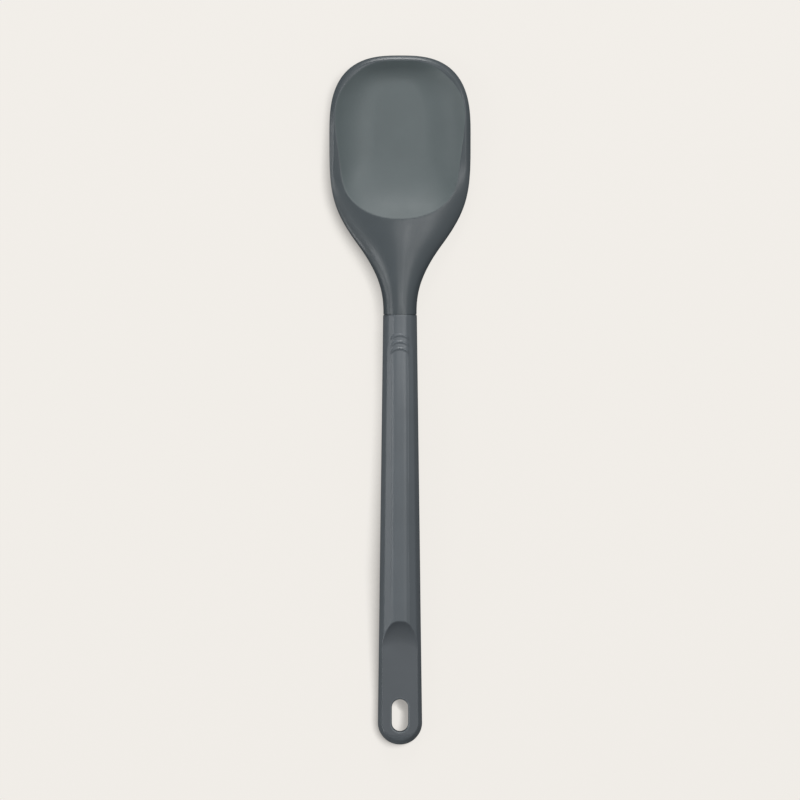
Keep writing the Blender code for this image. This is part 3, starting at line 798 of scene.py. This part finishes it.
def scoop_height(distance, x):
    """Height of the thumb scoop's surface, arched in plan, which runs level into the hanging tab's top."""
    depth = handle_crest(SCOOP_START) - TAB_THICKNESS
    run = math.sqrt(2 * SCOOP_RADIUS * depth - depth**2)
    aside = min(SCOOP_ARCH_LIMIT, abs(x) / SCOOP_ARCH_HALF_WIDTH)
    start = SCOOP_START + SCOOP_ARCH_DEPTH * (1 - math.sqrt(1 - aside**2))
    before_level = start + run - distance
    if before_level <= 0:
        return TAB_THICKNESS
    if before_level >= SCOOP_RADIUS * SCOOP_WALL_LIMIT:
        return TAB_THICKNESS + SCOOP_RADIUS
    return TAB_THICKNESS + SCOOP_RADIUS - math.sqrt(SCOOP_RADIUS**2 - before_level**2)


def handle_places():
    """Distances of the handle's stations from the seam, closer over the ridges and the scoop's edge."""
    places = [END_ROUND * share for share in END_ROUND_SHARES]
    last = HANDLE_LENGTH - TAIL_RADIUS
    while places[-1] < last:
        at = places[-1]
        by_ridges = RIDGES_CLOSE_FROM < at < RIDGES_CLOSE_TO
        by_scoop = SCOOP_START - SCOOP_CLOSE_BEFORE < at < SCOOP_START + SCOOP_CLOSE_AFTER
        places.append(min(last, at + (CLOSE_SPACING if by_ridges or by_scoop else PLAIN_SPACING)))
    return places


def dressed(distance, x, height, is_top):
    """Height of the handle once ridges, panel, scoop and tab have shaped its top, and its hollowed share."""
    if not is_top:
        return height, 0.0
    height += ridge_rise(distance, x) - panel_sink(distance, x)
    # On the handle the hollowed share lays the tab's darker colour, painted shade, over the scoop and the tab
    return hollow_out(height, scoop_height(distance, x), SCOOP_EDGE_ROUND)


def handle_stations():
    """Half sections of the handle: straight across from the seam to the tail, then turned round its end."""
    stations = []
    for distance in handle_places():
        turn = math.pi / 2 * (1 - min(1.0, distance / END_ROUND))
        inset = END_ROUND * (1 - math.cos(turn))
        points = []
        for j, (x, height) in enumerate(handle_section(distance, inset)):
            points.append((x, -distance, *dressed(distance, x, height, j <= CROWN_STEPS)))
        stations.append(points)
    centre = HANDLE_LENGTH - TAIL_RADIUS
    for step in range(1, TAIL_STEPS + 1):
        angle = math.pi / 2 * step / TAIL_STEPS
        section = handle_section(centre, crown_fall=TAIL_CROWN_FALL * math.sin(angle) ** 2)
        points = []
        for j, (x, height) in enumerate(section):
            aside = x * math.cos(angle) if step < TAIL_STEPS else 0.0
            distance = centre + x * math.sin(angle)
            points.append((aside, -distance, *dressed(distance, aside, height, j <= CROWN_STEPS)))
        stations.append(points)
    return stations


def stadium(half_width, half_straight, centre_y, height):
    """A ring with straight sides along Y and half-round ends."""
    ring = []
    for end in (1, -1):
        for step in range(SLOT_END_STEPS + 1):
            turn = math.pi * step / SLOT_END_STEPS
            x = end * half_width * math.cos(turn)
            ring.append((x, centre_y + end * (half_straight + half_width * math.sin(turn)), height))
    return ring


def slot_cutter():
    """The hanging slot, with its edges rounded over where it meets the tab's two faces."""
    centre_y = -(HANDLE_LENGTH - SLOT_END_TO_TAIL - SLOT_LENGTH / 2)
    half_straight = (SLOT_LENGTH - SLOT_WIDTH) / 2
    turns = [math.pi / 2 * step / SLOT_EDGE_STEPS for step in range(SLOT_EDGE_STEPS + 1)]
    levels = [(-CUTTER_RUN_PAST, SLOT_EDGE_ROUND)]
    for face, inwards in ((0.0, 1), (TAB_THICKNESS, -1)):
        arc = []
        for turn in turns:
            height = face + inwards * SLOT_EDGE_ROUND * (1 - math.cos(turn))
            arc.append((height, SLOT_EDGE_ROUND * (1 - math.sin(turn))))
        levels += arc if inwards > 0 else arc[::-1]
    levels.append((TAB_THICKNESS + CUTTER_RUN_PAST, SLOT_EDGE_ROUND))
    rings = [stadium(SLOT_WIDTH / 2 + flare, half_straight, centre_y, height) for height, flare in levels]
    return loft_rings("slot_cutter", rings)


def finished(item, others):
    """Mirrors a half body, joins or cuts the others, and keeps a plain mesh with its crisp edges marked."""
    mirror = item.modifiers.new("mirror", "MIRROR")
    mirror.merge_threshold = MIRROR_MERGE_DISTANCE
    for other, operation in others:
        other.data.shade_smooth()
        modifier = item.modifiers.new(other.name, "BOOLEAN")
        modifier.operation = operation
        modifier.solver = "EXACT"
        modifier.object = other
    bpy.context.view_layer.update()
    graph = bpy.context.evaluated_depsgraph_get()
    data = bpy.data.meshes.new_from_object(item.evaluated_get(graph))
    data.name = item.name
    item.modifiers.clear()
    item.data = data
    for other, _ in others:
        bpy.data.objects.remove(other, do_unlink=True)
    item.data.shade_smooth()
    item.data.set_sharp_from_angle(angle=CRISP_ANGLE)
    return item


def spoon_head():
    """Bowl, neck, spigot and tang as one piece."""
    half = loft_half("spoon_head", head_stations(), towards_tail=False)
    return finished(half, [(tang(), "UNION"), (spigot(), "UNION")])


def spoon_handle():
    """The grip with its slot, mouth and socket cut out."""
    half = loft_half("spoon_handle", handle_stations(), towards_tail=True)
    cutters = (slot_cutter(), mouth_cutter(), socket_cutter())
    return finished(half, [(cutter, "DIFFERENCE") for cutter in cutters])


def new_material(name):
    """A node material, with its nodes, its links and its main shader."""
    material = bpy.data.materials.new(name)
    material.use_nodes = True
    nodes = material.node_tree.nodes
    return material, nodes, material.node_tree.links, nodes["Principled BSDF"]


def noise(nodes, links, coordinates, scale, detail):
    """Soft random patches, this many a metre."""
    texture = nodes.new("ShaderNodeTexNoise")
    texture.inputs["Scale"].default_value = scale
    texture.inputs["Detail"].default_value = detail
    links.new(coordinates, texture.inputs["Vector"])
    return texture.outputs["Fac"]


def ranged(nodes, links, value, low, high, from_low=NOISE_LOW, from_high=NOISE_HIGH):
    """A value mapped from one range to another, from where noise mostly lies unless told otherwise."""
    node = nodes.new("ShaderNodeMapRange")
    node.inputs["From Min"].default_value = from_low
    node.inputs["From Max"].default_value = from_high
    node.inputs["To Min"].default_value = low
    node.inputs["To Max"].default_value = high
    links.new(value, node.inputs["Value"])
    return node.outputs["Result"]


def moulded_nylon(name, skin, hollow, grain):
    """Nylon with one colour and roughness on its skin and another in its hollow, faint clouds, uneven gloss
    and a grain. On the handle the hollow's darker colour is painted shade.
    """
    material, nodes, links, shader = new_material(name)
    place = nodes.new("ShaderNodeTexCoord").outputs["Object"]
    hollowed = nodes.new("ShaderNodeAttribute")
    hollowed.attribute_name = "hollowed"

    colours = nodes.new("ShaderNodeMix")
    colours.data_type = "RGBA"
    colours.inputs["A"].default_value = skin[0]
    colours.inputs["B"].default_value = hollow[0]
    links.new(hollowed.outputs["Fac"], colours.inputs["Factor"])
    clouds = noise(nodes, links, place, CLOUDS_PER_METRE, PATCH_DETAIL)
    tint = nodes.new("ShaderNodeMix")
    tint.data_type = "RGBA"
    tint.blend_type = "MULTIPLY"
    tint.inputs["Factor"].default_value = 1.0
    links.new(colours.outputs["Result"], tint.inputs["A"])
    links.new(ranged(nodes, links, clouds, 1 - CLOUD_SPREAD, 1 + CLOUD_SPREAD), tint.inputs["B"])
    links.new(tint.outputs["Result"], shader.inputs["Base Color"])

    finish = ranged(nodes, links, hollowed.outputs["Fac"], skin[1], hollow[1], 0.0, 1.0)
    patches = noise(nodes, links, place, GLOSS_PATCHES_PER_METRE, PATCH_DETAIL)
    roughness = nodes.new("ShaderNodeMath")
    links.new(finish, roughness.inputs[0])
    links.new(ranged(nodes, links, patches, -GLOSS_SPREAD, GLOSS_SPREAD), roughness.inputs[1])
    links.new(roughness.outputs["Value"], shader.inputs["Roughness"])

    grain_size, grain_depth = grain
    bump = nodes.new("ShaderNodeBump")
    bump.inputs["Strength"].default_value = 1.0
    bump.inputs["Distance"].default_value = grain_depth
    links.new(noise(nodes, links, place, 1 / grain_size, GRAIN_DETAIL), bump.inputs["Height"])
    links.new(bump.outputs["Normal"], shader.inputs["Normal"])
    shader.inputs["IOR"].default_value = NYLON_IOR
    return material


def head_nylon():
    """Satin inside the bowl, and a darker, glossier skin outside it."""
    return moulded_nylon("satin_nylon", NECK_FINISH, BOWL_FINISH, HEAD_GRAIN)


def handle_nylon():
    """Matt all over, with painted shade that makes the scoop and the tab a little darker."""
    return moulded_nylon("matt_nylon", GRIP_FINISH, TAB_PAINTED_SHADE_AND_FINISH, HANDLE_GRAIN)


def softbox(name, polar, azimuth, width, strength):
    """A square lamp aimed at the spoon. Its strength is the light that it gives a surface facing it there."""
    lamp = bpy.data.lights.new(name, "AREA")
    lamp.shape = "SQUARE"
    lamp.size = width
    lamp.energy = strength * math.pi * LAMP_DISTANCE**2
    down = math.radians(polar)
    turned = math.radians(azimuth)
    across = math.sin(down)
    direction = Vector((across * math.cos(turned), across * math.sin(turned), math.cos(down)))
    item = bpy.data.objects.new(name, lamp)
    item.location = direction * LAMP_DISTANCE
    item.rotation_euler = (-direction).to_track_quat("-Z", "Y").to_euler()
    bpy.context.scene.collection.objects.link(item)


def shown_to_camera(nodes, links, shown, unseen, surface):
    """Gives the camera one shader, and every other ray another."""
    path = nodes.new("ShaderNodeLightPath")
    choice = nodes.new("ShaderNodeMixShader")
    links.new(path.outputs["Is Camera Ray"], choice.inputs["Fac"])
    links.new(unseen, choice.inputs[1])
    links.new(shown, choice.inputs[2])
    links.new(choice.outputs["Shader"], surface)


def table_brightness(nodes, links):
    """How bright the table is at a place: darker where the spoon shuts out light from one side."""
    place = nodes.new("ShaderNodeNewGeometry").outputs["Position"]
    along = nodes.new("ShaderNodeSeparateXYZ")
    links.new(place, along.inputs["Vector"])
    reaches = (SHADOW_REACH_AT_TAIL, SHADOW_REACH)
    reach = ranged(nodes, links, along.outputs["Y"], *reaches, SHADOW_SHORT_BEFORE, SHADOW_FULL_AFTER)
    side = nodes.new("ShaderNodeCombineXYZ")
    for socket, value in zip(side.inputs, SHADOW_TILT):
        socket.default_value = value
    shut_out = nodes.new("ShaderNodeAmbientOcclusion")
    shut_out.samples = SHADOW_SAMPLES
    links.new(reach, shut_out.inputs["Distance"])
    links.new(side.outputs["Vector"], shut_out.inputs["Normal"])
    return ranged(nodes, links, shut_out.outputs["AO"], SHADOW_DARKEST, 1.0, SHADOW_CORE, SHADOW_EDGE)


def table_material():
    """A pale matt table. The camera sees mostly its own shade, and other rays a dim floor."""
    material, nodes, links, lit = new_material("pale_table")
    lit.inputs["Base Color"].default_value = PALE
    lit.inputs["Roughness"].default_value = TABLE_ROUGHNESS
    lit.inputs["Specular IOR Level"].default_value = 0.0
    own = nodes.new("ShaderNodeEmission")
    own.inputs["Color"].default_value = PALE
    links.new(table_brightness(nodes, links), own.inputs["Strength"])
    shown = nodes.new("ShaderNodeMixShader")
    shown.inputs["Fac"].default_value = TABLE_SHADING
    links.new(own.outputs["Emission"], shown.inputs[1])
    links.new(lit.outputs["BSDF"], shown.inputs[2])
    dim = nodes.new("ShaderNodeBsdfDiffuse")
    dim.inputs["Color"].default_value = FLOOR_BOUNCE
    surface = nodes["Material Output"].inputs["Surface"]
    shown_to_camera(nodes, links, shown.outputs["Shader"], dim.outputs["BSDF"], surface)
    return material


def table():
    """The pale table under the spoon."""
    far = TABLE_HALF_WIDTH
    corners = [(x, y, 0.0) for x, y in ((-far, -far), (far, -far), (far, far), (-far, far))]
    data = bpy.data.meshes.new("table")
    data.from_pydata(corners, [], [(0, 1, 2, 3)])
    data.materials.append(table_material())
    floor = bpy.data.objects.new("table", data)
    bpy.context.scene.collection.objects.link(floor)
    return floor


def world_light():
    """A soft sky for the spoon. The camera sees the table's own shade in its place."""
    world = bpy.data.worlds.new("studio")
    bpy.context.scene.world = world
    world.use_nodes = True
    nodes = world.node_tree.nodes
    links = world.node_tree.links
    direction = nodes.new("ShaderNodeTexCoord").outputs["Generated"]
    slope = nodes.new("ShaderNodeVectorMath")
    slope.operation = "DOT_PRODUCT"
    slope.inputs[1].default_value = (SKY_RIGHT, SKY_REAR, SKY_OVERHEAD)
    links.new(direction, slope.inputs[0])
    total = nodes.new("ShaderNodeMath")
    total.operation = "ADD"
    total.inputs[1].default_value = SKY_ROUND
    links.new(slope.outputs["Value"], total.inputs[0])
    strength = nodes.new("ShaderNodeMath")
    strength.operation = "MAXIMUM"
    strength.inputs[1].default_value = 0.0
    links.new(total.outputs["Value"], strength.inputs[0])
    sky = nodes["Background"]
    sky.inputs["Color"].default_value = WHITE
    links.new(strength.outputs["Value"], sky.inputs["Strength"])
    backdrop = nodes.new("ShaderNodeBackground")
    backdrop.inputs["Color"].default_value = PALE
    surface = nodes["World Output"].inputs["Surface"]
    shown_to_camera(nodes, links, backdrop.outputs["Background"], sky.outputs["Background"], surface)


def camera():
    """The camera square above the spoon, as far off as its lens needs to take in the photograph's frame."""
    data = bpy.data.cameras.new("camera")
    data.sensor_width = CAMERA_SENSOR
    data.lens = CAMERA_LENS
    item = bpy.data.objects.new("camera", data)
    height = FRAME_WIDTH * CAMERA_LENS / CAMERA_SENSOR
    item.location = (0.0, CAMERA_Y, OBJECT_PLANE + height)
    bpy.context.scene.collection.objects.link(item)
    bpy.context.scene.camera = item


def main():
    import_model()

    head = spoon_head()
    head.data.materials.clear()
    head.data.materials.append(head_nylon())
    handle = spoon_handle()
    handle.data.materials.clear()
    handle.data.materials.append(handle_nylon())

    for piece, node, slot in ((head, "head", "head_nylon"), (handle, "handle", "handle_nylon")):
        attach(piece, "root")
        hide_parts(node)

    table()
    world_light()
    for settings in SOFTBOXES:
        softbox(*settings)
    camera()
    bpy.context.scene.view_settings.view_transform = "Standard"


main()
